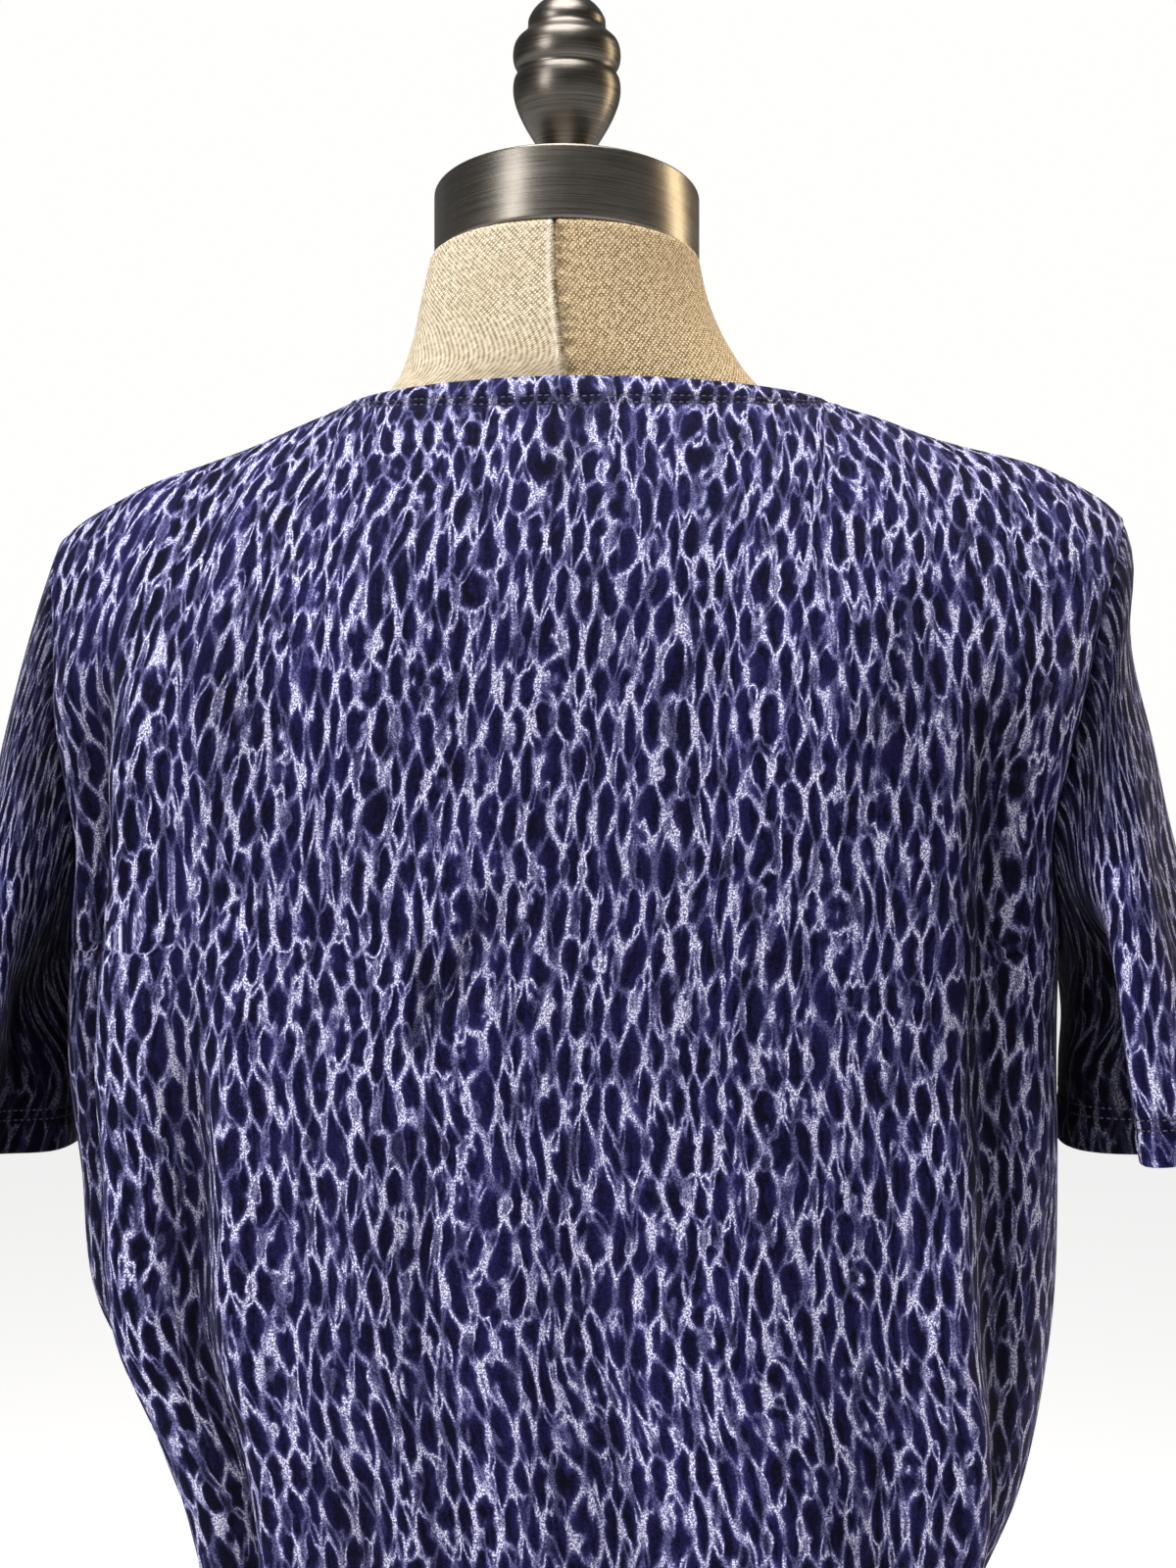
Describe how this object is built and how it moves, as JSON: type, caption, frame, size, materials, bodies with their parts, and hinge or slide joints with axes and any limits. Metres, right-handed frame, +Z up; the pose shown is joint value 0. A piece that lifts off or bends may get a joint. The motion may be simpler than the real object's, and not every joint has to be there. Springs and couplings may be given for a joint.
{
  "type": "tunic top on a dress form",
  "caption": "short-sleeved tunic top in printed velour, hanging open and hollow on a limbless dress form with a round-footed stand",
  "frame": {"origin": "bottom centre of the stand's round foot, on the pole's axis", "axes": "+Z up; the garment's front faces -Y and its back faces +Y; the wearer's left is +X"},
  "size_m": [0.57, 0.34, 1.5742],
  "materials": {
    "velour": "indigo velour knit with a pale net print",
    "linen": "natural linen cover",
    "nickel": "brushed dark nickel"
  },
  "bodies": {
    "root": {"back": "velour", "front": "velour", "sleeve_left": "velour", "sleeve_right": "velour", "form_body": "linen", "neck_cap": "nickel", "finial": "nickel", "form_plate": "nickel", "pole": "nickel", "base": "nickel"}
  },
  "joints": []
}
